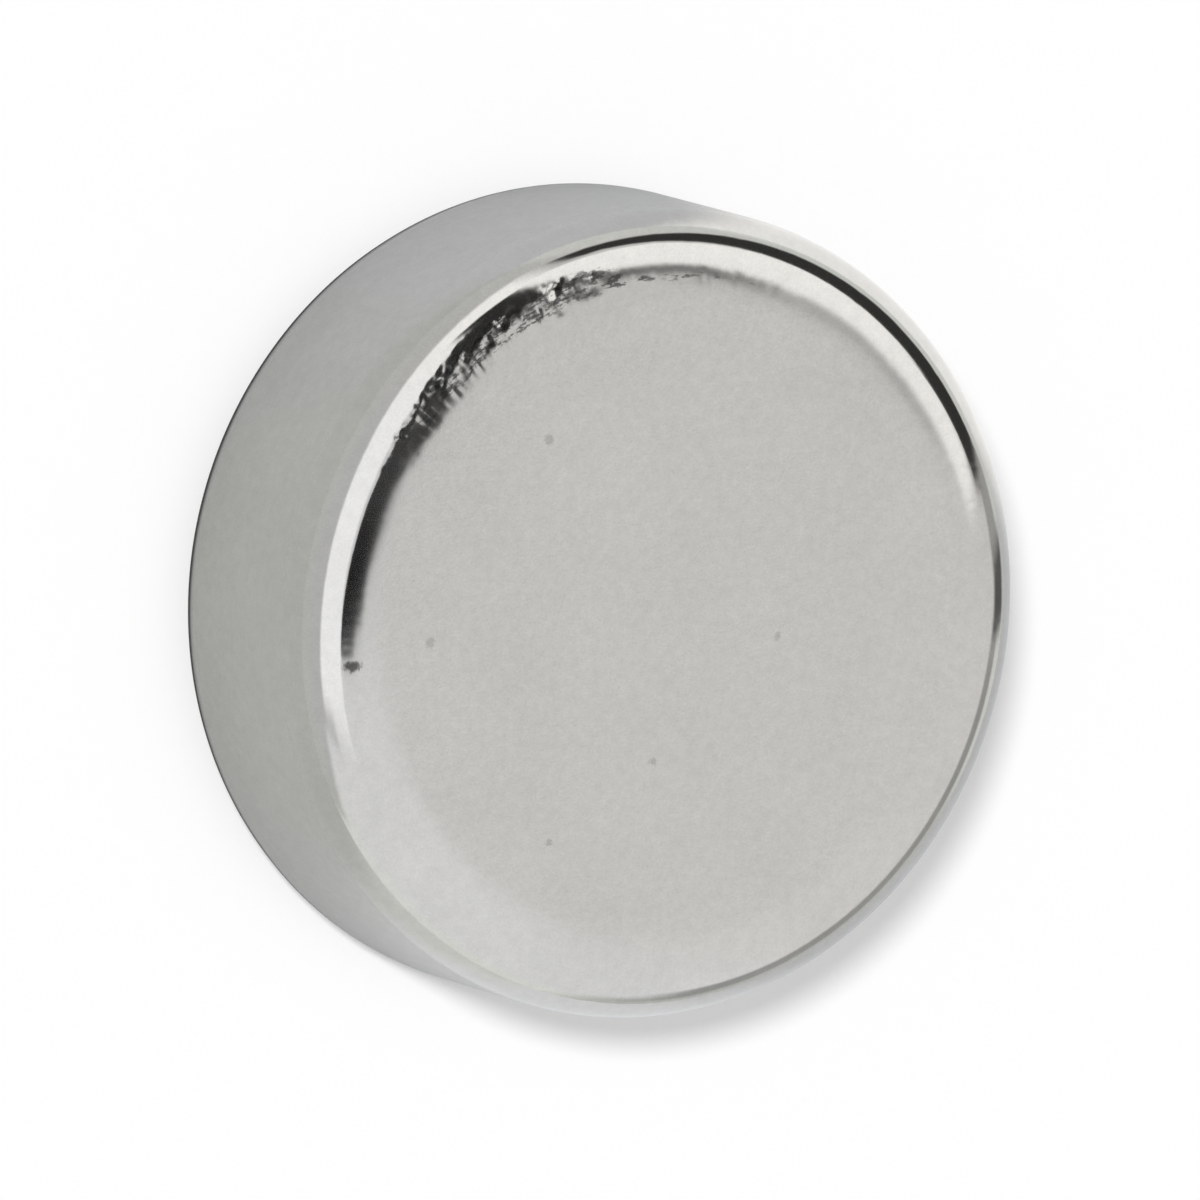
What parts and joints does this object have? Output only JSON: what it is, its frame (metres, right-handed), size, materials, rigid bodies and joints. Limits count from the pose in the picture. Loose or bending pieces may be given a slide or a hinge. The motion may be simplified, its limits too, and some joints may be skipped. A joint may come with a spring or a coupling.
{
  "type": "disc magnet",
  "caption": "Small flat round magnet with softly rounded edges and bright nickel plating, for holding light things to steel or for setting into a round pocket.",
  "frame": {"origin": "centre of the lower pole face, on the surface that the disc lies on", "axes": "+Z along the disc's axis and direction of magnetisation, from the lower pole face to the upper one; X and Y are free, since the disc is round"},
  "size_m": [0.008, 0.008, 0.003],
  "materials": {
    "nickel_plating": "bright nickel plating, satin with a fine grain on the ground pole faces and the rim, polished where the edges roll over"
  },
  "bodies": {
    "root": {"disc_magnet": "nickel_plating"}
  },
  "joints": []
}
